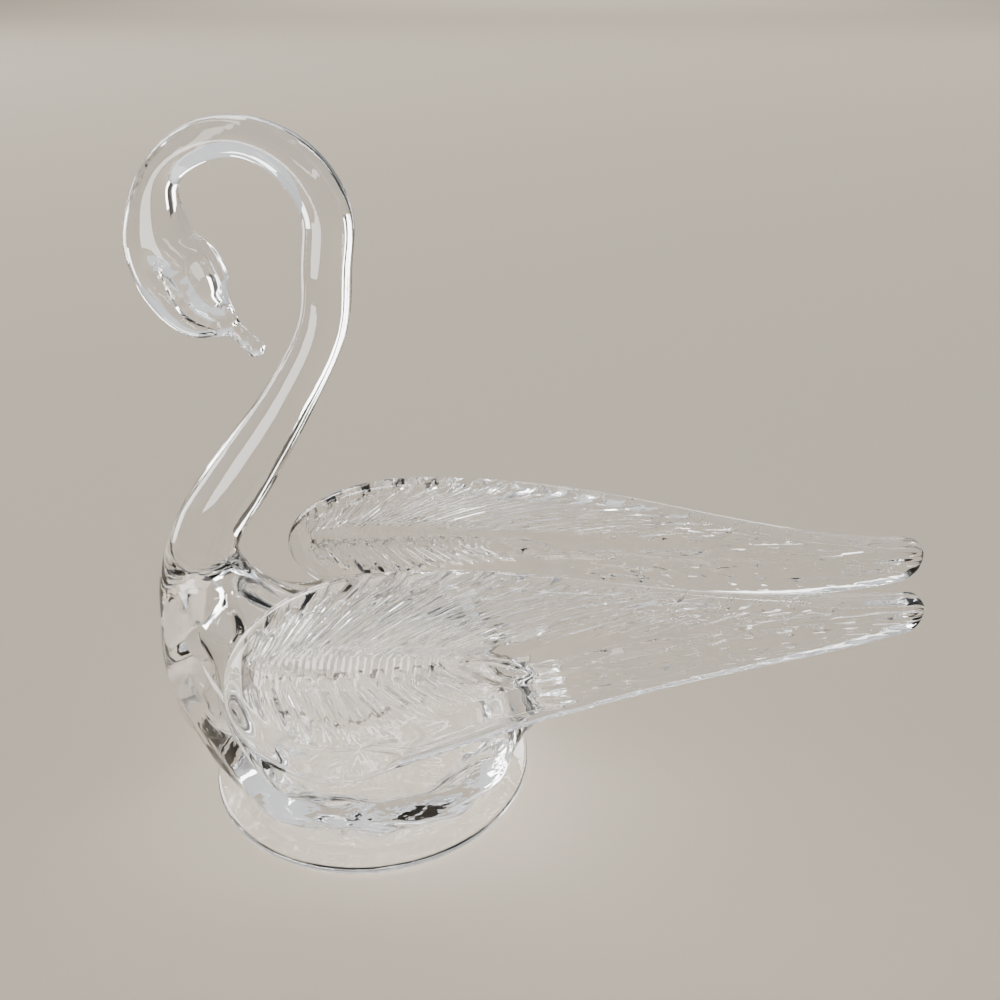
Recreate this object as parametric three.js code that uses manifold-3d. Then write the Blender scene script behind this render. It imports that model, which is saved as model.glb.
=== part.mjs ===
// Clear glass swan on a round foot, worked hot from one gather of glass.
// Everything on it is fused, so it is one solid: foot, body, tail, neck, head and two wings.
// Millimetres, +Z up. The origin is the centre of the foot's flat underside.
// The swan looks along -X. Its left wing is on the -Y side, its right wing on the +Y side.
import * as THREE from "three";
import { mergeVertices } from "three/addons/utils/BufferGeometryUtils.js";
import Module from "manifold-3d";

const wasm = await Module();
wasm.setup();

// Foot: a thin flat disc that thickens into a low hub under the body
const FOOT_RADIUS = 41;
const FOOT_RIM = 2.2;
const HUB_RADIUS = 25;
const HUB_HEIGHT = 5;

// Body: a squat round lump, widest near its bottom, drawn out in front into the breast
const BODY_HALF_LENGTH = 39;
const BODY_HALF_WIDTH = 38.5;
const BODY_BOTTOM = 1.7; // sunk into the hub
const GIRTH_HEIGHT = 15;
const BACK_HEIGHT = 48;
const BODY_FULLNESS = 2.35; // 2 is an ellipsoid, more is boxier
const BREAST_REACH = 51.5; // how far the breast stands in front of the foot's centre
const BREAST_LIFT = 21; // how far up the front of the lump is drawn
const BREAST_NARROWING = 0.38; // share of the width lost at the front of the breast

// Shoulder: the hollow slope in which the back rises to the pulled neck
const SHOULDER_FORWARD = 35; // from the foot's centre
const SHOULDER_RISE = 22;
const SHOULDER_REACH = 24;

// Neck: rises from the breast as a leaning stem and goes over in a round curl
const FIGURE_HEIGHT = 163;
const NECK_ROOT_DEPTH = 14.6; // seen from the side, where it leaves the breast
const NECK_ROOT_WIDTH = 16.5; // seen from the front
const NECK_ROOT_HEIGHT = 47;
const STEM_THICKNESS = 10.6; // behind the curl
const CURL_RADIUS = 18.6; // to the middle of the glass
const CURL_THICKNESS = 8; // at the top of the curl
const CURL_FORWARD = 20.2; // from the foot's centre to the curl's

// The stem's bends between its root and the curl, as shares of the way up and of the way
// back, with its girth in stem thicknesses
const STEM_BENDS = [
  { up: 0.118, back: 0.036, girth: 1.38 },
  { up: 0.253, back: 0.179, girth: 1.46 },
  { up: 0.391, back: 0.393, girth: 1.41 },
  { up: 0.589, back: 0.695, girth: 1.11 },
  { up: 0.776, back: 0.92, girth: 1 },
];

// Head: pressed flat between tongs, with the bill pinched out of it
const HEAD_LENGTH = 23.9; // from the crown to the root of the bill
const HEAD_DEPTH = 19.4; // from crown to throat, seen from the side
const HEAD_THICKNESS = 9.5; // from cheek to cheek
const HEAD_DROOP = 56; // degrees below level
const BILL_THICKNESS = 4;
const BILL_LENGTH = 8;
const BILL_DROOP = 45;

// Tail: a short drawn stub under the wings
const TAIL_REACH = 54;
const TAIL_HEIGHT = 28;
const TAIL_THICKNESS = 6.5;
const TAIL_ROOT = 20;

// Wings: thick pressed leaves that lean in over the back and close towards the tail
const WING_FRONT = -26.5;
const WING_FRONT_HEIGHT = 46;
const WING_SPREAD = 31.5; // from the middle of the swan to the wing's middle, at the body
const WING_CLOSING = 18; // how much nearer to the middle the tip lies
const WING_LEAN = 17.5; // degrees from upright at the front; the wing twists upright behind
const WING_THICKNESS = 6.4;
const WING_DISH = 1.1; // how far the pressed field lies below its rim, on each face
const UPPER_HALF = 23.4; // from the shaft to the top rim, at the widest
const LOWER_HALF = 22.2; // from the shaft to the bottom rim, at the widest
const UPPER_WIDEST = 0.22; // share of the wing's length where the top rim is highest
const LOWER_WIDEST = 0.19;
const LEFT_TIP = { x: 129.5, z: 61, half: 3.6 };
const RIGHT_TIP = { x: 138, z: 59, half: 4.8 };
const RIM_WIDTH = 3.2;
const HEM_WIDTH = 12.5; // the smooth band along the bottom rim
const BARBS = 17;
const BARB_DEPTH = 0.9;
const BARB_FIELD_END = 0.8; // share of the wing's length where the barbs run out

// Fineness of the faces
const LINES_PER_BARB = 3;
const TIP_LINES = 4;
const WING_SIDES = 20;
const NECK_LINES = 68;
const NECK_SIDES = 14;
const TAIL_LINES = 14;
const TAIL_SIDES = 12;
const BODY_LINES = 24;
const BODY_SIDES = 36;
const FOOT_SIDES = 64;

const mix = THREE.MathUtils.lerp;
const ease = THREE.MathUtils.smoothstep; // ease(value, low, high) runs smoothly from 0 to 1
const radians = THREE.MathUtils.degToRad;

// Rounds off an end: 0 at the end itself, 1 from a radius away
const dome = (distance, radius) => Math.sqrt(1 - (1 - Math.min(1, distance / radius)) ** 2);

// Moves evenly spaced shares partly towards both ends, where forms are rounder
const crowd = (share, amount) => mix(share, (1 - Math.cos(Math.PI * share)) / 2, amount);

// A sphere's faces give each form its closed skin. place() says where each point of it goes:
// share runs from one pole to the other, and turn once round.
function skin(sides, lines, place) {
  const shell = new THREE.SphereGeometry(1, sides, lines);
  const { position, uv } = shell.attributes;
  for (let i = 0; i < position.count; i += 1) {
    const share = 1 - uv.getY(i);
    const ball = new THREE.Vector3().fromBufferAttribute(position, i);
    const spot = place(share, uv.getX(i) * 2 * Math.PI, ball);
    position.setXYZ(i, spot.x, spot.y, spot.z);
  }
  return solid(shell);
}

// Joins a geometry's loose triangles into one closed solid with its faces pointing out
function solid(geometry) {
  geometry.deleteAttribute("normal");
  geometry.deleteAttribute("uv");
  const closed = mergeVertices(geometry, 1e-4);
  const vertProperties = new Float32Array(closed.attributes.position.array);
  const corners = [];
  for (let i = 0; i < closed.index.count; i += 3) {
    const [a, b, c] = [0, 1, 2].map((k) => closed.index.getX(i + k));
    if (a !== b && b !== c && c !== a) corners.push(a, b, c);
  }
  const at = (k) => new THREE.Vector3().fromArray(vertProperties, 3 * k);
  let volume = 0;
  for (let i = 0; i < corners.length; i += 3) {
    volume += at(corners[i]).dot(at(corners[i + 1]).cross(at(corners[i + 2])));
  }
  if (volume < 0) corners.reverse();
  const triVerts = new Uint32Array(corners);
  return new wasm.Manifold(new wasm.Mesh({ numProp: 3, vertProperties, triVerts }));
}

// A tapering rod in the swan's middle plane. Each station is where the rod's middle lies
// (x, z), its width seen from the side (deep) and its width seen from the front (wide).
function rod(stations, lines, sides) {
  const route = new THREE.CatmullRomCurve3(stations.map(({ x, z }) => new THREE.Vector3(x, 0, z)));
  const girth = new THREE.CatmullRomCurve3(
    stations.map(({ deep, wide }) => new THREE.Vector3(deep / 2, wide / 2, 0)),
  );
  route.curveType = "catmullrom";
  girth.curveType = "catmullrom";
  const length = route.getLength();
  const endRadius = stations.at(-1).deep / 2;
  return skin(sides, lines, (share, turn) => {
    const along = crowd(share, 0.5);
    const t = route.getUtoTmapping(along);
    const middle = route.getPoint(t);
    const heading = route.getTangent(t);
    const half = girth.getPoint(t);
    const ends = dome(along * length, 1) * dome((1 - along) * length, endRadius);
    const across = half.x * ends * Math.cos(turn);
    return new THREE.Vector3(
      middle.x + across * heading.z,
      half.y * ends * Math.sin(turn),
      middle.z - across * heading.x,
    );
  });
}

function foot() {
  const edge = FOOT_RIM / 2;
  const profile = [new THREE.Vector2(0, 0), new THREE.Vector2(FOOT_RADIUS - edge, 0)];
  for (let angle = -60; angle <= 60; angle += 30) {
    const out = FOOT_RADIUS - edge + edge * Math.cos(radians(angle));
    profile.push(new THREE.Vector2(out, edge + edge * Math.sin(radians(angle))));
  }
  profile.push(
    new THREE.Vector2(FOOT_RADIUS - edge, FOOT_RIM),
    new THREE.Vector2(mix(HUB_RADIUS, FOOT_RADIUS, 0.3), mix(FOOT_RIM, HUB_HEIGHT, 0.2)),
    new THREE.Vector2(HUB_RADIUS, HUB_HEIGHT),
    new THREE.Vector2(0, HUB_HEIGHT),
  );
  const disc = new THREE.LatheGeometry(profile, FOOT_SIDES);
  disc.rotateX(Math.PI / 2);
  return solid(disc);
}

// The lump's front is drawn forward and up, which makes the breast, and its back rises behind
// the neck
function body() {
  return skin(BODY_SIDES, BODY_LINES, (share, turn, ball) => {
    const sum = [ball.x, ball.y, ball.z].reduce((t, v) => t + Math.abs(v) ** BODY_FULLNESS, 0);
    const spot = ball.clone().multiplyScalar(sum ** (-1 / BODY_FULLNESS));
    const rise = spot.y > 0 ? BACK_HEIGHT - GIRTH_HEIGHT : GIRTH_HEIGHT - BODY_BOTTOM;
    const drawn = ease(-spot.x, 0.45, 1);
    const lifted = drawn * ease(spot.y, -1.1, 0.1);
    const x = spot.x * BODY_HALF_LENGTH - drawn * (BREAST_REACH - BODY_HALF_LENGTH);
    const y = spot.z * BODY_HALF_WIDTH * (1 - drawn * BREAST_NARROWING);
    const near = Math.max(0, 1 - Math.hypot(x + SHOULDER_FORWARD, y) / SHOULDER_REACH);
    const shoulder = SHOULDER_RISE * near ** 2 * ease(spot.y, 0, 0.5);
    return new THREE.Vector3(x, y, GIRTH_HEIGHT + spot.y * rise + lifted * BREAST_LIFT + shoulder);
  });
}

// The neck rises out of the breast, leans back, and curls over and down into the head
function neckAndHead() {
  const root = { x: 0.55 * NECK_ROOT_DEPTH - BREAST_REACH, z: NECK_ROOT_HEIGHT };
  const curl = { x: -CURL_FORWARD, z: FIGURE_HEIGHT - CURL_THICKNESS / 2 - CURL_RADIUS };
  const inside = { x: mix(root.x, 0, 0.15), z: mix(root.z, GIRTH_HEIGHT, 0.5) };
  const stations = [
    { ...inside, deep: NECK_ROOT_DEPTH, wide: 1.2 * NECK_ROOT_WIDTH },
    { ...root, deep: NECK_ROOT_DEPTH, wide: NECK_ROOT_WIDTH },
  ];
  for (const { up, back, girth } of STEM_BENDS) {
    const thick = girth * STEM_THICKNESS;
    const x = mix(root.x, curl.x + CURL_RADIUS, back);
    stations.push({ x, z: mix(root.z, curl.z, up), deep: thick, wide: thick });
  }
  for (let angle = -20; angle <= 145; angle += 33) {
    const thick = mix(STEM_THICKNESS, CURL_THICKNESS, ease(angle, 10, 100));
    const x = curl.x + CURL_RADIUS * Math.cos(radians(angle));
    stations.push({ x, z: curl.z + CURL_RADIUS * Math.sin(radians(angle)), deep: thick, wide: thick });
  }

  // Places on the head, by their share of its length and how far they bow to the front
  const droop = { x: Math.cos(radians(HEAD_DROOP)), z: -Math.sin(radians(HEAD_DROOP)) };
  const crown = { x: curl.x - 0.92 * CURL_RADIUS, z: curl.z - 0.065 * CURL_RADIUS };
  const onHead = (share, bow) => ({
    x: crown.x + share * HEAD_LENGTH * droop.x + bow * droop.z,
    z: crown.z + share * HEAD_LENGTH * droop.z - bow * droop.x,
  });
  const bill = onHead(1, 0);
  const billTip = {
    x: bill.x + BILL_LENGTH * Math.cos(radians(BILL_DROOP)),
    z: bill.z - BILL_LENGTH * Math.sin(radians(BILL_DROOP)),
  };
  stations.push(
    { ...crown, deep: 0.78 * HEAD_DEPTH, wide: HEAD_THICKNESS },
    { ...onHead(0.34, 1.8), deep: HEAD_DEPTH, wide: HEAD_THICKNESS },
    { ...onHead(0.68, 2.6), deep: 0.84 * HEAD_DEPTH, wide: 0.8 * HEAD_THICKNESS },
    { ...bill, deep: 1.2 * BILL_THICKNESS, wide: 1.2 * BILL_THICKNESS },
    { ...billTip, deep: BILL_THICKNESS, wide: BILL_THICKNESS },
  );
  return rod(stations, NECK_LINES, NECK_SIDES);
}

function tail() {
  const tip = { x: TAIL_REACH - TAIL_THICKNESS / 2, z: TAIL_HEIGHT };
  const root = { x: 0.8 * BODY_HALF_LENGTH, z: GIRTH_HEIGHT + 3 };
  const middle = { x: mix(root.x, tip.x, 0.6), z: mix(root.z, tip.z, 0.5) };
  return rod(
    [
      { x: 0.4 * BODY_HALF_LENGTH, z: root.z, deep: TAIL_ROOT, wide: 1.5 * TAIL_ROOT },
      { ...root, deep: TAIL_ROOT, wide: 1.3 * TAIL_ROOT },
      { ...middle, deep: 1.8 * TAIL_THICKNESS, wide: 2.2 * TAIL_THICKNESS },
      { ...tip, deep: TAIL_THICKNESS, wide: 1.3 * TAIL_THICKNESS },
    ],
    TAIL_LINES,
    TAIL_SIDES,
  );
}

// Half height of the wing's leaf above or below its shaft, at a share of its length:
// a round front up to the widest place, then taper(), which falls from 1 to 0, down to the tip
function leafHalf(share, widest, half, tipHalf, taper) {
  if (share < widest) return half * Math.sqrt(1 - (1 - share / widest) ** 2);
  return tipHalf + (half - tipHalf) * taper((share - widest) / (1 - widest));
}
const upperTaper = (t) => Math.cos((t * Math.PI) / 2) ** 2;
const lowerTaper = (t) => mix(1 - t ** 6, (1 - t) ** 4, 0.55);

// One wing. side is -1 for the left wing and 1 for the right one.
function wing(side, tip) {
  const length = tip.x - WING_FRONT;
  const above = (s) => leafHalf(s, UPPER_WIDEST, UPPER_HALF, tip.half, upperTaper);
  const below = (s) => leafHalf(s, LOWER_WIDEST, LOWER_HALF, tip.half, lowerTaper);
  const shaftHeight = (s) => mix(WING_FRONT_HEIGHT, tip.z, s);
  const spread = (s) => WING_SPREAD - WING_CLOSING * ease(s, 0.15, 1);
  const lean = (s) => Math.tan(radians(WING_LEAN)) * (1 - ease(s, 0.25, 0.8));

  // Most lines across the wing carry the barbs, and a few round off the tip
  const lines = BARBS * LINES_PER_BARB + TIP_LINES;
  const bladeLines = 1 - TIP_LINES / lines;
  const bladeEnd = 1 - tip.half / length;
  const lineAt = (share) => {
    if (share < bladeLines) return bladeEnd * crowd(share / bladeLines, 0.3);
    const round = (share - bladeLines) / (1 - bladeLines);
    return mix(bladeEnd, 1, Math.sin((round * Math.PI) / 2));
  };

  return skin(WING_SIDES, lines, (share, turn) => {
    const up = Math.cos(turn); // 1 at the top rim, -1 at the bottom rim
    const face = Math.sign(Math.sin(turn)); // 1 on the outer face, -1 on the inner face

    // The barbs sweep back from the shaft, so each line is ahead there of where it meets a rim.
    // Above the shaft they start almost upright and then bend back in a fan.
    const line = lineAt(share);
    const atShaft = mix(ease(line, 0.68, 1), line, 0.46);
    const swept = up > 0 ? Math.max(0, (up - 0.3) / 0.7) : -0.5 * up;
    const s = mix(atShaft, line, swept);

    const half = up > 0 ? above(s) : below(s);
    const round = dome((1 - s) * length, tip.half);
    const height = up * half * round;

    // The pressed field lies below the smooth rim and carries the barbs
    const border = up > 0 ? RIM_WIDTH : HEM_WIDTH;
    const inset = half * (1 - Math.abs(up));
    const field = ease(inset, 0.4 * border, border) * ease(s, 0.03, 0.06);
    const barbed = field * (1 - ease(s, BARB_FIELD_END - 0.15, BARB_FIELD_END));
    const ridge = (Math.round(share * lines) % LINES_PER_BARB) / (LINES_PER_BARB - 1);
    const dish = field * WING_DISH * (1 - ease(s, 0.7, 1));
    const rimRounding = Math.sqrt(Math.max(0, 1 - Math.abs(up) ** 8));
    const nose = Math.min(1, Math.sqrt(s * 14));
    const thick = (WING_THICKNESS / 2 + barbed * BARB_DEPTH * ridge - dish) * rimRounding;

    const out = spread(s) - lean(s) * height + face * thick * round * nose;
    return new THREE.Vector3(WING_FRONT + s * length, side * out, shaftHeight(s) + height);
  });
}

const forms = [body(), neckAndHead(), tail(), wing(-1, LEFT_TIP), wing(1, RIGHT_TIP)];
const fused = forms.reduce((whole, form) => whole.add(form), foot()).getMesh();
const swanGeometry = new THREE.BufferGeometry();
swanGeometry.setAttribute("position", new THREE.BufferAttribute(fused.vertProperties, 3));
swanGeometry.setIndex(new THREE.BufferAttribute(fused.triVerts, 1));
swanGeometry.computeVertexNormals();

const clearGlass = new THREE.MeshStandardMaterial({
  color: 0xf2f4f3,
  roughness: 0.03,
  metalness: 0,
  transparent: true,
  opacity: 0.35,
});
const swan = new THREE.Mesh(swanGeometry, clearGlass);
swan.name = "swan";

const model = new THREE.Group();
model.add(swan);

export default model;
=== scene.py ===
# %% [markdown]
# # A clear glass swan
# This swan is one lump of clear glass, worked while it was hot. A round foot was pressed flat, a
# squat body was set on it, the neck was pulled out of the breast and curled over, and two
# leaf-shaped wings were pressed in a ribbed mould and welded to its sides. We start with the
# frame, which gives the real size, and with the few tools that every piece below uses.

import math

import bpy
import numpy as np
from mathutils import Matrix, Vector
from mathutils.bvhtree import BVHTree


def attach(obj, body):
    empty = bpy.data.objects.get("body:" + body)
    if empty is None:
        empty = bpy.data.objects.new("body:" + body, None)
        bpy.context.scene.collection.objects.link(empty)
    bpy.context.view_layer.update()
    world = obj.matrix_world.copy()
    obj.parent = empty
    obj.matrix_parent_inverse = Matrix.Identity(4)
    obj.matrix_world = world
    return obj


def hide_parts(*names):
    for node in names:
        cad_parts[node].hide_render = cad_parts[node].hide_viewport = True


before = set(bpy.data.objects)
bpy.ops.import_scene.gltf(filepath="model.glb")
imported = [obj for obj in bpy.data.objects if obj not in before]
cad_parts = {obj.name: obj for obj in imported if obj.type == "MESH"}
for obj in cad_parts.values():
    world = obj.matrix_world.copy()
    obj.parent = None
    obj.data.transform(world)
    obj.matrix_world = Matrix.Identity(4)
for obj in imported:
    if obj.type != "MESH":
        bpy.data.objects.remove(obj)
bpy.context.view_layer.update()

# %% [markdown]
# Blender works in metres and a glassmaker thinks in millimetres, so every size below is in
# millimetres and is changed to metres at the moment a vertex is placed. Two small functions do
# most of the shaping: mix goes evenly from one value to another, and ease starts and stops
# gently, as soft glass does.

# %% Small tools
MM = 0.001


def mix(a, b, share):
    return a + (b - a) * share


def ease(value, low, high):
    share = np.clip((value - low) / (high - low), 0, 1)
    return share * share * (3 - 2 * share)


def rounded_end(distance, radius):
    """0 at the end itself, 1 from a radius away, and round in between"""
    return np.sqrt(1 - (1 - np.clip(distance / radius, 0, 1)) ** 2)


def pick_nothing():
    bpy.ops.object.select_all(action="DESELECT")


def pick(piece):
    pick_nothing()
    piece.select_set(True)
    bpy.context.view_layer.objects.active = piece


print("tools ready, sizes are in millimetres times", MM)

# %% [markdown]
# Worked glass has no flat faces and no sharp corners, so a closed sphere is the best start for
# each form: it has one skin and no seam. The sphere is added with Blender's own operator, with
# its rings along the form and its segments round it. Then each vertex is moved to its place.
# Doing that by a rule, and not by hand, keeps the long curves even, because glass shows every
# bump twice: once as a highlight and once as a bend in what lies behind it.

# %% Draw a form from a sphere
def points_of(piece):
    points = np.empty(len(piece.data.vertices) * 3)
    piece.data.vertices.foreach_get("co", points)
    return points.reshape(-1, 3)


def move_points(piece, points):
    piece.data.vertices.foreach_set("co", np.ravel(points))
    piece.data.update()


def draw_form(name, segments, rings, place):
    """place() gets each vertex's share of the way from pole to pole, its turn, and the ball"""
    pick_nothing()
    bpy.ops.mesh.primitive_uv_sphere_add(segments=segments, ring_count=rings, radius=1)
    piece = bpy.context.object
    piece.name = name
    ball = points_of(piece)
    share = np.arccos(np.clip(ball[:, 2], -1, 1)) / math.pi
    turn = np.arctan2(ball[:, 1], ball[:, 0])
    move_points(piece, np.column_stack(place(share, turn, ball)) * MM)
    bpy.ops.object.mode_set(mode="EDIT")
    bpy.ops.mesh.select_all(action="SELECT")
    bpy.ops.mesh.normals_make_consistent(inside=False)
    bpy.ops.object.mode_set(mode="OBJECT")
    print(name, "has", len(piece.data.polygons), "faces")
    return piece


# %% [markdown]
# ## The foot
# The foot is a thin flat disc with a rounded rim. It was dropped hot under the body and pressed
# on a plate, so it is thickest in the middle. A cylinder is the natural start: its top is inset
# and lifted to make the low hub, and its rim is rounded with a bevel.

# %% The foot
FOOT_RADIUS = 41
FOOT_RIM = 2.2
HUB_RADIUS = 25
HUB_HEIGHT = 5

pick_nothing()
bpy.ops.mesh.primitive_cylinder_add(
    vertices=128,
    radius=FOOT_RADIUS * MM,
    depth=FOOT_RIM * MM,
    location=(0, 0, FOOT_RIM / 2 * MM),
)
foot = bpy.context.object
foot.name = "foot"
bpy.ops.object.transform_apply(location=True, rotation=True, scale=True)


def pick_top_face(piece):
    """Leaves only the highest face picked, in edit mode"""
    bpy.ops.object.mode_set(mode="EDIT")
    bpy.ops.mesh.select_mode(type="FACE")
    bpy.ops.mesh.select_all(action="DESELECT")
    bpy.ops.object.mode_set(mode="OBJECT")
    top = max(piece.data.polygons, key=lambda face: face.center.z)
    top.select = True
    bpy.ops.object.mode_set(mode="EDIT")


FOOT_EDGE = 1.2
FOOT_STEPS = 16
step_in = (FOOT_RADIUS - FOOT_EDGE - HUB_RADIUS) / FOOT_STEPS
reached = FOOT_RADIUS
for step in range(FOOT_STEPS + 1):
    inward = FOOT_EDGE if step == 0 else step_in
    before = ease(FOOT_RADIUS - reached, 4, FOOT_RADIUS - HUB_RADIUS)
    reached -= inward
    after = ease(FOOT_RADIUS - reached, 4, FOOT_RADIUS - HUB_RADIUS)
    pick_top_face(foot)
    bpy.ops.mesh.inset(thickness=inward * MM, depth=0)
    bpy.ops.transform.translate(value=(0, 0, (HUB_HEIGHT - FOOT_RIM) * (after - before) * MM))
    bpy.ops.object.mode_set(mode="OBJECT")

rim = foot.modifiers.new("rim", "BEVEL")
rim.width = 0.48 * FOOT_RIM * MM
rim.segments = 6
rim.limit_method = "ANGLE"
rim.angle_limit = math.radians(50)
pick(foot)
bpy.ops.object.modifier_apply(modifier="rim")
print("foot stands on z", min(points_of(foot)[:, 2]), "and has", len(foot.data.polygons), "faces")

# %% [markdown]
# ## The body
# The body is a squat lump, a little boxier than an egg, widest just above the foot. While it
# was soft its front was pulled forward and up, and that pull is the breast. So the breast is
# not a piece of its own here either: the front of the same ball is drawn out and narrowed. The
# pulled neck took some of the back with it, so the back rises to it in a hollow slope.

# %% The body
BODY_HALF_LENGTH = 39
BODY_HALF_WIDTH = 38.5
BODY_BOTTOM = 1.7
GIRTH_HEIGHT = 15
BACK_HEIGHT = 48
BODY_FULLNESS = 2.35
BREAST_REACH = 51.5
BREAST_LIFT = 21
BREAST_NARROWING = 0.38
SHOULDER_X = -35
SHOULDER_RISE = 22
SHOULDER_REACH = 24
HILL_ROUNDING = 0.25
FLOW_DEPTH = 0.015


def hollow_slope(x, y, middle, rise, reach):
    """A hollow-sided hill with a round top, over the place where the neck was pulled"""
    away = np.sqrt((x - middle) ** 2 + y**2 + (HILL_ROUNDING * reach) ** 2)
    near = np.clip(1 - away / reach, 0, 1)
    return rise * near**2


def place_body(share, turn, ball):
    fullness = np.sum(np.abs(ball) ** BODY_FULLNESS, axis=1) ** (-1 / BODY_FULLNESS)
    # Lines of flow run slantwise round the lower part, where the gather was turned
    flow = np.sin(13 * turn - 40 * share)
    flow += 0.6 * np.sin(21 * turn - 22 * share + 2 * np.sin(5 * turn))
    low = ease(share, 0.5, 0.62) * (1 - ease(share, 0.8, 0.9))
    x, y, z = (ball * (fullness * (1 + FLOW_DEPTH * low * flow))[:, None]).T
    rise = np.where(z > 0, BACK_HEIGHT - GIRTH_HEIGHT, GIRTH_HEIGHT - BODY_BOTTOM)
    drawn = ease(-x, 0.45, 1)
    lifted = drawn * ease(z, -1.1, 0.1)
    wide = y * BODY_HALF_WIDTH * (1 - drawn * BREAST_NARROWING)
    long = x * BODY_HALF_LENGTH - drawn * (BREAST_REACH - BODY_HALF_LENGTH)
    shoulder = hollow_slope(long, wide, SHOULDER_X, SHOULDER_RISE, SHOULDER_REACH)
    return long, wide, GIRTH_HEIGHT + z * rise + lifted * BREAST_LIFT + shoulder * ease(z, 0, 0.5)


body = draw_form("body", 96, 52, place_body)

# %% [markdown]
# ## Neck, head and bill
# The neck is a rod of glass that was pulled out of the breast, bent back and curled over a
# former. A rod like this is described by a few stations. At each one we say where its middle
# lies and how thick it is, seen from the side (deep) and from the front (wide). A smooth curve
# runs through the stations. The head is the same rod, pressed flat between tongs, and the bill
# is its pinched end.

# %% A smooth line through stations
def through(stations, steps):
    """A smooth curve through the rows of stations. Steps go from 0, the first, to 1, the last"""
    rows = np.vstack([2 * stations[0] - stations[1], stations, 2 * stations[-1] - stations[-2]])
    place = np.clip(np.asarray(steps), 0, 1) * (len(stations) - 1)
    first = np.minimum(place.astype(int), len(stations) - 2)
    t = (place - first)[:, None]
    before, here, there, after = (rows[first + k] for k in range(4))
    leave = (there - before) / 2
    arrive = (after - here) / 2
    return (
        here
        + leave * t
        + (3 * (there - here) - 2 * leave - arrive) * t**2
        + (2 * (here - there) + leave + arrive) * t**3
    )


def draw_rod(name, stations, segments, rings, relief=None):
    """A tapering rod in the swan's middle plane. Stations are rows of x, z, deep and wide"""
    stations = np.array(stations, dtype=float)
    fine = np.linspace(0, 1, 4000)
    route = through(stations[:, :2], fine)
    lengths = np.concatenate([[0], np.cumsum(np.linalg.norm(np.diff(route, axis=0), axis=1))])

    def place(share, turn, ball):
        along = mix(share, (1 - np.cos(np.pi * share)) / 2, 0.35)
        t = np.interp(along * lengths[-1], lengths, fine)
        x, z, deep, wide = through(stations, t).T
        ahead = through(stations[:, :2], t + 1e-4) - through(stations[:, :2], t - 1e-4)
        ahead /= np.linalg.norm(ahead, axis=1)[:, None]
        to_end = (1 - along) * lengths[-1]
        ends = rounded_end(along * lengths[-1], 2) * rounded_end(to_end, stations[-1, 2] / 2)
        station = t * (len(stations) - 1)
        swell, pinch = relief(station, turn) if relief else (1, 1)
        across = deep / 2 * ends * swell * np.cos(turn)
        sideways = wide / 2 * ends * swell * pinch * np.sin(turn)
        return x + across * ahead[:, 1], sideways, z - across * ahead[:, 0]

    return draw_form(name, segments, rings, place)


# %% Neck and head
FIGURE_HEIGHT = 163
NECK_ROOT = {"x": -43.5, "z": 47, "deep": 14.6, "wide": 16.5}
STEM_THICKNESS = 10.6
CURL_RADIUS = 18.6
CURL_THICKNESS = 8
CURL_X = -20.2
# The drawn lines on the curl stand proud of the rod by this much
DRAWN_LINE = 0.15
CURL_Z = FIGURE_HEIGHT - CURL_THICKNESS / 2 - CURL_RADIUS - DRAWN_LINE

neck_line = [
    (-40, 31, 14, 18),
    (NECK_ROOT["x"], NECK_ROOT["z"], NECK_ROOT["deep"], NECK_ROOT["wide"]),
]
# The stem's bends: share of the way up, share of the way back, and girth in stem thicknesses
for up, back, girth in (
    (0.118, 0.036, 1.38),
    (0.253, 0.179, 1.46),
    (0.391, 0.393, 1.41),
    (0.589, 0.695, 1.11),
    (0.776, 0.92, 1.0),
):
    x = mix(NECK_ROOT["x"], CURL_X + CURL_RADIUS, back)
    z = mix(NECK_ROOT["z"], CURL_Z, up)
    neck_line.append((x, z, girth * STEM_THICKNESS, girth * STEM_THICKNESS))

for angle in range(-20, 146, 33):
    x = CURL_X + CURL_RADIUS * math.cos(math.radians(angle))
    z = CURL_Z + CURL_RADIUS * math.sin(math.radians(angle))
    thick = mix(STEM_THICKNESS, CURL_THICKNESS, float(ease(angle, 10, 100)))
    neck_line.append((x, z, thick, thick))
print("the neck has", len(neck_line), "stations below the head")

HEAD_LENGTH = 23.9
HEAD_DEPTH = 19.4
HEAD_THICKNESS = 9.5
HEAD_DROOP = math.radians(56)
BILL_THICKNESS = 4
BILL_LENGTH = 8
crown_x = CURL_X - 0.92 * CURL_RADIUS
crown_z = CURL_Z - 0.065 * CURL_RADIUS
# On the head: share of its length, how far it bows to the front, depth and thickness
for share, bow, deep, wide in (
    (0, 0, 0.78 * HEAD_DEPTH, HEAD_THICKNESS),
    (0.34, 1.8, HEAD_DEPTH, HEAD_THICKNESS),
    (0.68, 2.6, 0.84 * HEAD_DEPTH, 0.8 * HEAD_THICKNESS),
    (1, 0, 1.2 * BILL_THICKNESS, 1.2 * BILL_THICKNESS),
):
    x = crown_x + share * HEAD_LENGTH * math.cos(HEAD_DROOP) - bow * math.sin(HEAD_DROOP)
    z = crown_z - share * HEAD_LENGTH * math.sin(HEAD_DROOP) - bow * math.cos(HEAD_DROOP)
    neck_line.append((x, z, deep, wide))
bill_step = BILL_LENGTH * math.sqrt(0.5)
neck_line.append((x + bill_step, z - bill_step, BILL_THICKNESS, BILL_THICKNESS))

# %% [markdown]
# A pulled rod is never quite round: long drawn lines run along it, and they are what breaks the
# lamp's reflection into streaks. The head was squeezed between tongs with a checkered face. That
# left a thin web between two rolls of glass, wider towards the bill, and a waist behind the bill.

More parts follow.
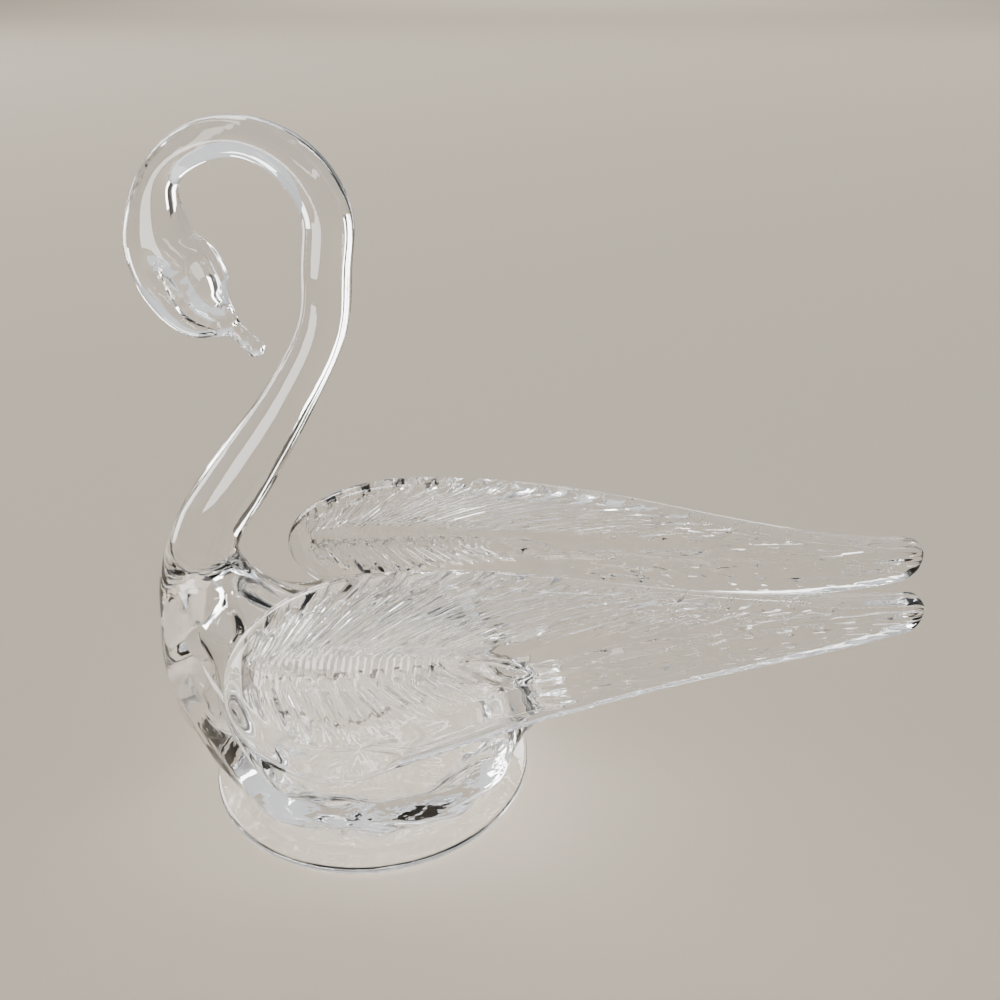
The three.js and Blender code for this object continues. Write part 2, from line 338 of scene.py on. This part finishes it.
# %% Drawn lines and tong marks
crown_station = len(neck_line) - 5
bill_station = len(neck_line) - 2
LINE_DEPTH = 0.02
WAIST_DEPTH = 0.16
NIP_DEPTH = 0.06
WEB_DEPTH = 0.42
CHECK_DEPTH = 0.04


def neck_relief(station, turn):
    """How much the rod swells all round, and how much it is pinched from its sides"""
    pulled = ease(station, 1, 3)
    lines = np.sin(3 * turn + 0.2 * station) + 0.8 * np.sin(7 * turn - 0.15 * station + 1)
    lines += 0.5 * np.sin(13 * turn + 0.25 * station + 2)
    head = np.clip((station - crown_station) / (bill_station - crown_station), 0, 1)
    web = 1 - ease(np.abs(np.cos(turn) - 0.3), mix(0.02, 0.3, head), mix(0.14, 0.46, head))
    web *= ease(head, 0.04, 0.25) * (1 - ease(head, 0.82, 0.94))
    checks = np.sin(34 * head + 9 * np.cos(turn)) * np.sin(34 * head - 14 * np.cos(turn))
    waist = np.exp(-(((station - bill_station) / 0.16) ** 2))
    nipped = ease(station, bill_station, bill_station + 0.3)
    nipped = nipped * np.sin(5 * turn) * np.sin(16 * station)
    swell = 1 + LINE_DEPTH * pulled * lines - WAIST_DEPTH * waist + NIP_DEPTH * nipped
    return swell, 1 - web * (WEB_DEPTH + CHECK_DEPTH * checks)


neck = draw_rod("neck", neck_line, 48, 300, neck_relief)

# %% [markdown]
# ## The tail
# Under the wings the body ends in a short stub, pulled out and nipped off. It is a rod as well.

# %% The tail
TAIL_REACH = 54
TAIL_HEIGHT = 28
TAIL_THICKNESS = 6.5

tail = draw_rod(
    "tail",
    [
        (0.4 * BODY_HALF_LENGTH, GIRTH_HEIGHT + 3, 20, 30),
        (0.8 * BODY_HALF_LENGTH, GIRTH_HEIGHT + 3, 20, 26),
        (43.1, 23, 1.8 * TAIL_THICKNESS, 2.2 * TAIL_THICKNESS),
        (TAIL_REACH - TAIL_THICKNESS / 2, TAIL_HEIGHT, TAIL_THICKNESS, 1.3 * TAIL_THICKNESS),
    ],
    28,
    26,
)

# %% [markdown]
# ## The wings
# Each wing is a thick leaf, pressed between two ribbed halves of a mould. It has a smooth round
# rim on top, a broad smooth hem below, and a shaft from which the barbs of the feathers sweep
# back. The lines of the mesh run along the barbs, so every rib is drawn by whole rows of
# vertices and stays crisp. That is why this is done with a rule and not with a texture: real
# ribs of glass bend the light, and a painted line would not.

# %% Sizes of the wings
WING_FRONT = -26.5
WING_FRONT_HEIGHT = 46
WING_SPREAD = 31.5
WING_CLOSING = 18
WING_LEAN = math.tan(math.radians(17.5))
WING_THICKNESS = 6.4
UPPER_HALF = 23.4
LOWER_HALF = 22.2
TIPS = {"left": (129.5, 61, 3.6), "right": (138, 59, 4.8)}
RIM_WIDTH = 3.2
HEM_WIDTH = 12.5
BARBS = 17
WING_DISH = 1.0
BARB_DEPTH = 1.0


def leaf_half(s, widest, half, tip_half, taper):
    """Half height of the leaf: a round front up to the widest place, then a taper to the tip"""
    front = half * np.sqrt(1 - (1 - np.clip(s / widest, 0, 1)) ** 2)
    behind = np.clip((s - widest) / (1 - widest), 0, 1)
    return np.where(s < widest, front, tip_half + (half - tip_half) * taper(behind))


def upper_taper(t):
    return np.cos(t * np.pi / 2) ** 2


def lower_taper(t):
    return mix(1 - t**6, (1 - t) ** 4, 0.55)


# %% The lines of the feathers
WING_RINGS = 290
TIP_RINGS = 12
SHAFT_LEAD = 0.46


def fringe_top(line):
    """Where the fringe above the shaft ends, as a share of the upper half"""
    return np.clip(0.46 - 0.3 * line, 0.2, 0.46)


def feather_lines(share, up, tip_half, length):
    """Which feather line each ring is, and where along the wing it lies at this height"""
    # The last rings round off the tip, and all the others carry the barbs
    blade = 1 - TIP_RINGS / WING_RINGS
    blade_end = 1 - tip_half / length
    along = np.clip(share / blade, 0, 1)
    along = mix(along, (1 - np.cos(np.pi * along)) / 2, 0.1) ** 1.15 * blade_end
    off_tip = np.clip((share - blade) / (1 - blade), 0, 1)
    line = np.where(share < blade, along, mix(blade_end, 1, np.sin(off_tip * np.pi / 2)))

    # At the shaft a line starts far ahead of where it meets the rim. It crosses the fringe
    # almost upright, and then sweeps back in a long fan. Below the shaft it slants down.
    at_shaft = mix(ease(line, 0.68, 1), line, SHAFT_LEAD)
    top = fringe_top(line)
    fan = np.clip((up - top + 0.05) / (1.05 - top), 0, 1)
    swept = np.where(up > 0, fan**1.08, 0.5 * np.abs(up))
    return line, mix(at_shaft, line, swept)


def feather_relief(line, s, up, height, inset, face):
    """How far the pressed skin lies below the rim's level, in millimetres"""
    phase = line * BARBS + 0.3 * (face < 0)
    wave = phase - np.floor(phase)
    barb = np.where(wave < 0.82, ease(wave, 0, 0.82), 1 - ease(wave, 0.82, 1))
    lobe = np.abs(np.sin(np.pi * phase))
    uneven = 1 + 0.25 * np.sin(1.7 * phase + 0.4 * height) * np.sin(0.9 * phase - 0.7 * height)

    # The field begins inside the rim, and its upper border is scalloped by the barbs' ends
    hook = np.where(wave < 0.7, ease(wave, 0, 0.7), 1 - ease(wave, 0.7, 1))
    border = np.where(up > 0, RIM_WIDTH * (0.8 + 0.8 * hook), HEM_WIDTH)
    field = ease(inset, border - 0.9, border) * ease(s, 0.03, 0.045)

    # Three rows of feathers: bold ones below the shaft, a fringe above it, long ones on top
    top = fringe_top(line)
    row_one = ease(height, -0.9 + 2.0 * lobe, 0.1 + 2.0 * lobe)
    row_two = ease(up, top - 0.02 + 0.03 * lobe, top + 0.03 + 0.03 * lobe)
    fine = np.sin(2 * np.pi * 3 * phase)
    bold = (BARB_DEPTH * (barb - 0.1) - 0.1 + 0.15 * fine) * (1 - row_one)
    ticks = np.sin(2 * np.pi * 3 * phase + 1.4 * height) * np.sin(2.3 * phase + 1.9 * height)
    fringe = (0.2 * ticks - 0.75) * row_one * (1 - row_two)
    fan = (0.55 * (barb - 0.5) + 0.26 * fine - 0.1) * row_two
    front_rows = 1 - ease(s, 0.36, 0.5)
    fan_rows = 1 - ease(s, 0.62, 0.85)
    pressed = uneven * ((bold + fringe) * front_rows + fan * fan_rows)

    # Behind, the glass was pulled long, and only drawn lines run along it
    drawn = 0.14 * np.sin(2.1 * height + 9 * s) + 0.1 * np.sin(3.9 * height - 14 * s)
    drawn += 0.24 * np.sin(3.1 * height + 70 * s) * np.sin(45 * s + 1.3 * height) * (up < 0)
    drawn *= ease(s, 0.4, 0.55)
    dish = WING_DISH * (1 - ease(s, 0.7, 1))
    return field * (pressed - dish) + drawn * ease(inset, 0.5, 3)


barb_step = (TIPS["left"][0] - WING_FRONT) / BARBS
print("barbs are about", round(SHAFT_LEAD * barb_step, 1), "mm apart at the front of the shaft")
print("and", round(barb_step, 1), "mm apart at the rim")


# %% One pressed wing
def draw_wing(name, side, tip_x, tip_z, tip_half):
    """Side is -1 for the swan's left wing and 1 for its right one"""
    length = tip_x - WING_FRONT

    def place(share, turn, ball):
        # The rings' vertices are spread evenly over the height, with a few more at the rims
        up = mix(np.cos(turn), 1 - 2 * np.abs(turn) / np.pi, 0.6)
        face = np.sign(np.sin(turn))
        line, s = feather_lines(share, up, tip_half, length)
        above = leaf_half(s, 0.22, UPPER_HALF, tip_half, upper_taper)
        below = leaf_half(s, 0.19, LOWER_HALF, tip_half, lower_taper)
        half = np.where(up > 0, above, below)
        round_tip = rounded_end((1 - s) * length, tip_half)
        height = up * half * round_tip
        inset = half * (1 - np.abs(up))

        relief = feather_relief(line, s, up, height, inset, face)
        rim_round = np.sqrt(np.clip(1 - np.abs(up) ** 8, 0, 1))
        nose = np.minimum(1, np.sqrt(s * 14))
        thick = (WING_THICKNESS / 2 + relief) * rim_round * round_tip * nose

        spread = WING_SPREAD - WING_CLOSING * ease(s, 0.15, 1)
        lean = WING_LEAN * (1 - ease(s, 0.25, 0.8))
        x = WING_FRONT + s * length
        y = side * (spread - lean * height + face * thick)
        z = mix(WING_FRONT_HEIGHT, tip_z, s) + height
        return x, y, z

    return draw_form(name, 104, WING_RINGS, place)


left_wing = draw_wing("left_wing", -1, *TIPS["left"])
right_wing = draw_wing("right_wing", 1, *TIPS["right"])

# %% [markdown]
# ## Welding the pieces
# Where hot pieces of glass meet, they flow together and leave a soft hollow, never a sharp
# corner. Before the pieces are joined, the skin of each is swelled a little where it comes near
# its neighbour, most of all right at the joint. The Boolean union that follows then cuts
# through two skins that are already leaning into each other.

# %% Swell the joints
def skin_tree(piece):
    """The piece's skin as a tree that finds the nearest place on it"""
    return BVHTree.FromPolygons(
        [v.co for v in piece.data.vertices],
        [tuple(face.vertices) for face in piece.data.polygons],
    )


def swell(piece, neighbour, reach):
    """Moves the piece's skin outward near its neighbour, by up to a quarter of the reach"""
    tree = skin_tree(neighbour)
    points = points_of(piece)
    moved = points.copy()
    for vertex in piece.data.vertices:
        spot, normal, face, distance = tree.find_nearest(vertex.co, reach * MM)
        if spot is None:
            continue
        outside = (vertex.co - spot).dot(normal) > 0
        near = 1 - distance / (reach * MM) if outside else 1.0
        corner = 1 - max(0.0, vertex.normal.dot(normal))
        moved[vertex.index] += np.array(vertex.normal) * reach / 4 * MM * near**2 * corner
    return moved


joints = (
    (neck, body, 12),
    (tail, body, 8),
    (body, foot, 4),
    (left_wing, body, 3),
    (right_wing, body, 3),
)
swelled = [
    (one, other, swell(one, other, reach), swell(other, one, reach))
    for one, other, reach in joints
]
start = {piece: points_of(piece) for piece in (foot, body, neck, tail, left_wing, right_wing)}
shift = {piece: np.zeros_like(points) for piece, points in start.items()}
for one, other, one_moved, other_moved in swelled:
    shift[one] += one_moved - start[one]
    shift[other] += other_moved - start[other]
for piece, points in start.items():
    moved = points + shift[piece]
    moved[:, 2] = np.maximum(moved[:, 2], points[:, 2].min())
    move_points(piece, moved)
    print(piece.name, "swells by up to", round(float(np.abs(shift[piece]).max()) / MM, 2), "mm")

# %% Join the glass
def weld(whole, part):
    union = whole.modifiers.new("weld", "BOOLEAN")
    union.operation = "UNION"
    union.solver = "MANIFOLD"
    union.object = part
    pick(whole)
    bpy.ops.object.modifier_apply(modifier="weld")
    bpy.data.objects.remove(part)


melted = [(skin_tree(neck), skin_tree(body), 11), (skin_tree(tail), skin_tree(body), 8)]
swan = body
for part in (foot, neck, tail, left_wing, right_wing):
    weld(swan, part)
swan.name = "swan_glass"

# %% [markdown]
# The neck and the tail were drawn out of the body, so their joints are softer than a weld. A
# smooth modifier melts the crease there. It works through a vertex group, which is strongest
# where both skins are near.

# %% Melt the crease of the drawn joints
group = swan.vertex_groups.new(name="melted")
for vertex in swan.data.vertices:
    for one, other, reach in melted:
        first = one.find_nearest(vertex.co, reach * MM)[3]
        second = other.find_nearest(vertex.co, reach * MM)[3]
        if first is not None and second is not None:
            group.add([vertex.index], 1 - max(first, second) / (reach * MM), "REPLACE")

melt = swan.modifiers.new("melt", "SMOOTH")
melt.factor = 0.5
melt.iterations = 40
melt.vertex_group = "melted"
pick(swan)
bpy.ops.object.modifier_apply(modifier="melt")
swan.vertex_groups.clear()
print("joints melted on", len(swan.data.vertices), "vertices")

# %% [markdown]
# The body was blown before the neck was pulled, so there is air sealed inside it. Its walls
# are thin on the back and the sides, while the bottom and the breast stayed thick. The room of
# air is one more ball, cut out of the glass. Nothing opens into it, so its skin can't be
# touched, but it turns the body from a strong lens into a clear bubble.

# %% The sealed air
AIR = {
    "front": -39.3,
    "rear": 37.0,
    "half_width": 36.5,
    "girth": 20,
    "floor": 12.5,
    "top": 45.5,
}
AIR_PEAK = {"middle": -32.5, "rise": 8, "reach": 14.5}
SWIRL_DEPTH = 0.035


def place_air(share, turn, ball):
    # The inner skin is not smooth: it kept the swirl of the gather at the bottom and in front
    swirl = np.sin(9 * turn - 24 * share)
    swirl += 0.7 * np.sin(16 * turn - 17 * share + 2 * np.sin(4 * turn))
    swirl += 0.6 * np.sin(31 * share + 7 * turn)
    low = ease(share, 0.45, 0.62) * np.sqrt(np.sin(np.pi * share))
    front = ease(-np.cos(turn), 0.55, 0.9) * np.sin(np.pi * share) ** 2
    x, y, z = (ball * (1 + SWIRL_DEPTH * swirl * np.maximum(low, front))[:, None]).T
    rise = np.where(z > 0, AIR["top"] - AIR["girth"], AIR["girth"] - AIR["floor"])
    drawn = ease(-x, 0.3, 1)
    lifted = drawn * ease(z, -1.1, 0.1)
    middle = (AIR["front"] + AIR["rear"]) / 2
    long = middle + x * (AIR["rear"] - AIR["front"]) / 2
    wide = y * AIR["half_width"] * (1 - drawn * 1.3 * BREAST_NARROWING)
    peak = hollow_slope(long, wide, AIR_PEAK["middle"], AIR_PEAK["rise"], AIR_PEAK["reach"])
    return long, wide, AIR["girth"] + z * rise + lifted * BREAST_LIFT + peak * ease(z, 0, 0.5)


air = draw_form("air", 96, 60, place_air)


def thinnest_wall(outside, inside):
    """The least way from a vertex of the inner skin to the outer one, and that vertex, in mm"""
    tree = skin_tree(outside)
    vertices = [vertex.co for vertex in inside.data.vertices]
    return min((tree.find_nearest(co)[3] / MM, tuple(co / MM)) for co in vertices)


wall, spot = thinnest_wall(swan, air)
print("the thinnest wall round the air is", round(wall, 2), "mm, near", [round(v) for v in spot])


def volume_of(piece):
    """Volume in cubic centimetres"""
    piece.data.calc_loop_triangles()
    points = points_of(piece) / MM
    corners = np.array([t.vertices for t in piece.data.loop_triangles])
    a, b, c = (points[corners[:, k]] for k in range(3))
    return float(np.einsum("ij,ij->i", a, np.cross(b, c)).sum() / 6000)


solid_volume = volume_of(swan)
air_volume = volume_of(air)
hollow = swan.modifiers.new("hollow", "BOOLEAN")
hollow.operation = "DIFFERENCE"
hollow.solver = "MANIFOLD"
hollow.object = air
pick(swan)
bpy.ops.object.modifier_apply(modifier="hollow")
bpy.data.objects.remove(air)
glass_volume = volume_of(swan)
print("solid", round(solid_volume, 1), "cm3, glass round the air", round(glass_volume, 1), "cm3")
print("air", round(air_volume, 1), "cm3")
print("all of it lies inside the glass:", abs(solid_volume - glass_volume - air_volume) < 0.05)

# %% Smooth the skins
pick(swan)
bpy.ops.object.shade_smooth_by_angle(angle=math.radians(42))
swan.data.calc_loop_triangles()
print("the swan has", len(swan.data.loop_triangles), "triangles, outside and round the air")
faces_at_edge = np.bincount([loop.edge_index for loop in swan.data.loops])
print("edges that don't join just two faces:", int(np.sum(faces_at_edge != 2)))

# %% [markdown]
# ## Clear glass
# Clear soda glass is nearly colourless. What makes it look real is not its colour but its
# surface: it is smooth enough to mirror a lamp, and yet slightly wavy from the tools and from
# its own flow. So the shader is plain glass, and only the bump carries two kinds of waves: slow
# swells from the flow, and faint short ripples where it cooled.

# %% The glass
glass = bpy.data.materials.new("clear_glass")
glass.use_nodes = True
nodes = glass.node_tree.nodes
links = glass.node_tree.links
shader = nodes["Principled BSDF"]
shader.inputs["Base Color"].default_value = (1.0, 1.0, 1.0, 1)
shader.inputs["Metallic"].default_value = 0
shader.inputs["Roughness"].default_value = 0.0
shader.inputs["IOR"].default_value = 1.5
shader.inputs["Transmission Weight"].default_value = 1.0

on_glass = nodes.new("ShaderNodeTexCoord")
swells = nodes.new("ShaderNodeTexNoise")
swells.inputs["Scale"].default_value = 60
swells.inputs["Detail"].default_value = 1.0
ripples = nodes.new("ShaderNodeTexNoise")
ripples.inputs["Scale"].default_value = 260
ripples.inputs["Detail"].default_value = 2.0
links.new(on_glass.outputs["Object"], swells.inputs["Vector"])
links.new(on_glass.outputs["Object"], ripples.inputs["Vector"])

slow = nodes.new("ShaderNodeBump")
slow.inputs["Strength"].default_value = 0.5
slow.inputs["Distance"].default_value = 0.0006
quick = nodes.new("ShaderNodeBump")
quick.inputs["Strength"].default_value = 0.25
quick.inputs["Distance"].default_value = 0.00012
links.new(swells.outputs["Fac"], slow.inputs["Height"])
links.new(ripples.outputs["Fac"], quick.inputs["Height"])
links.new(slow.outputs["Normal"], quick.inputs["Normal"])
links.new(quick.outputs["Normal"], shader.inputs["Normal"])

swan.data.materials.clear()
swan.data.materials.append(glass)
print("glass with", len(nodes), "nodes")

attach(swan, "root")
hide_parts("swan")

# %% [markdown]
# ## The table and the light
# Clear glass has no look of its own: it shows what is around it. A plain pale table and a few
# broad soft lamps give it quiet greys and long clean highlights. The lamps stand well away, so
# their reflections are long and narrow on the round neck.

# %% The table
pick_nothing()
bpy.ops.mesh.primitive_plane_add(size=16, location=(0, 0, -0.0003))
table = bpy.context.object
table.name = "table"

stone = bpy.data.materials.new("pale_stone")
stone.use_nodes = True
stone_shader = stone.node_tree.nodes["Principled BSDF"]
stone_shader.inputs["Base Color"].default_value = (0.43, 0.373, 0.298, 1)
stone_shader.inputs["Roughness"].default_value = 0.6
stone_shader.inputs["Specular IOR Level"].default_value = 0
table.data.materials.append(stone)

# %% The light
world = bpy.context.scene.world or bpy.data.worlds.new("studio")
bpy.context.scene.world = world
world.use_nodes = True
nodes = world.node_tree.nodes
links = world.node_tree.links
sky = nodes["Background"]
sky.inputs["Color"].default_value = (0.95, 0.97, 1.0, 1)

# The room is bright towards the window, at the back on the left, and dim behind the camera
look = nodes.new("ShaderNodeTexCoord")
to_window = nodes.new("ShaderNodeVectorMath")
to_window.operation = "DOT_PRODUCT"
to_window.inputs[1].default_value = (-0.45, 0.65, 0.6)
dim_to_bright = nodes.new("ShaderNodeMapRange")
dim_to_bright.inputs["From Min"].default_value = -0.6
dim_to_bright.inputs["From Max"].default_value = 0.9
dim_to_bright.inputs["To Min"].default_value = 0.32
dim_to_bright.inputs["To Max"].default_value = 1.15
links.new(look.outputs["Generated"], to_window.inputs[0])
links.new(to_window.outputs["Value"], dim_to_bright.inputs["Value"])
links.new(dim_to_bright.outputs["Result"], sky.inputs["Strength"])


def soft_lamp(name, spot, target, size, brightness):
    """A lit panel. Brightness is what its face shows, so a smaller panel gives less light"""
    data = bpy.data.lights.new(name, "AREA")
    data.shape = "RECTANGLE"
    data.size, data.size_y = size
    data.energy = brightness * math.pi * size[0] * size[1]
    # Clear glass hardly dims a lamp, so the lamps cast no shadow and the table stays light
    data.use_shadow = False
    lamp = bpy.data.objects.new(name, data)
    bpy.context.collection.objects.link(lamp)
    lamp.location = spot
    way = (np.array(target) - np.array(spot)).tolist()
    lamp.rotation_euler = Vector(way).to_track_quat("-Z", "Y").to_euler()
    print(name, "gives", round(data.energy, 1), "W")
    return lamp


soft_lamp("window", (-3.0, 1.6, 2.2), (0.03, 0, 0.05), (0.9, 1.9), 24)
soft_lamp("strip", (2.2, 2.6, 2.6), (0.03, 0, 0.06), (0.35, 2.2), 20)
soft_lamp("bar", (-0.2, 3.0, 2.6), (-0.2, 1.2, 0), (1.6, 0.3), 20)
soft_lamp("far_fill", (0, 6.0, 2.5), (0, 6.5, 0), (4, 2), 4.2)

# %% [markdown]
# A vertical rod of glass shows what stands beside it, never what hangs above it. So a few low
# panels and two black cards stand round the swan, as they do in a studio for glassware. The
# panels draw the long bright lines on the neck, and the cards draw the dark lines next to them.

# %% Panels and cards for the glass
def glint_panel(name, spot, target, size, brightness):
    """A panel that only the glass sees. It draws streaks on it, and it doesn't light the table"""
    panel = soft_lamp(name, spot, target, size, brightness)
    panel.visible_diffuse = False
    panel.visible_camera = False


glint_panel("left_panel", (-0.40, 0.10, 0.085), (0, 0, 0.12), (0.20, 0.16), 15)
glint_panel("back_left_panel", (-0.36, 0.36, 0.075), (0, 0, 0.12), (0.05, 0.15), 14)
glint_panel("back_right_panel", (0.20, 0.55, 0.07), (0, 0, 0.12), (0.12, 0.14), 3.5)
glint_panel("right_panel", (0.50, 0.05, 0.085), (0, 0, 0.12), (0.06, 0.16), 7)
glint_panel("front_left_panel", (-0.30, -0.42, 0.085), (0, 0, 0.12), (0.34, 0.16), 18)
glint_panel("front_panel", (0.25, -0.5, 0.45), (0, 0, 0.08), (0.3, 0.05), 14)


def black_card(name, x, y, wide, high):
    """A dull black card that stands on the table beside the swan, seen only through the glass"""
    bpy.ops.mesh.primitive_plane_add(size=1, location=(x, y, high / 2))
    card = bpy.context.object
    card.name = name
    card.scale = (wide, high, 1)
    card.rotation_euler = Vector((-x, -y, 0)).to_track_quat("Z", "Y").to_euler()
    card.data.materials.append(black)
    for rays in ("visible_camera", "visible_diffuse", "visible_shadow"):
        setattr(card, rays, False)


black = bpy.data.materials.new("black_card")
black.use_nodes = True
black_shader = black.node_tree.nodes["Principled BSDF"]
black_shader.inputs["Base Color"].default_value = (0.07, 0.07, 0.08, 1)
pick_nothing()
black_card("left_card", -0.355, 0.27, 0.08, 0.16)
black_card("right_card", 0.44, 0.30, 0.06, 0.16)

# %% [markdown]
# ## The camera
# The camera stands a little over 20 cm from the swan and looks down on it by about 28 degrees,
# which is how close a phone is held to a thing of this size. That nearness is why the wings
# look large against the head.

# %% The camera
lens = bpy.data.cameras.new("camera")
lens.sensor_width = 36
lens.lens = 1.023 * lens.sensor_width
lens.clip_start = 0.01
camera = bpy.data.objects.new("camera", lens)
bpy.context.collection.objects.link(camera)
camera.location = (0.04465, -0.20995, 0.1895)
camera.rotation_euler = (math.radians(90 - 27.76), 0, math.radians(3))
bpy.context.scene.camera = camera
print("camera looks from", [round(v, 3) for v in camera.location])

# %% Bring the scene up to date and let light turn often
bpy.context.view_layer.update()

# Light crosses many skins of glass on its way, so it may turn often
for paths in ("max_bounces", "transmission_bounces"):
    setattr(bpy.context.scene.cycles, paths, 24)
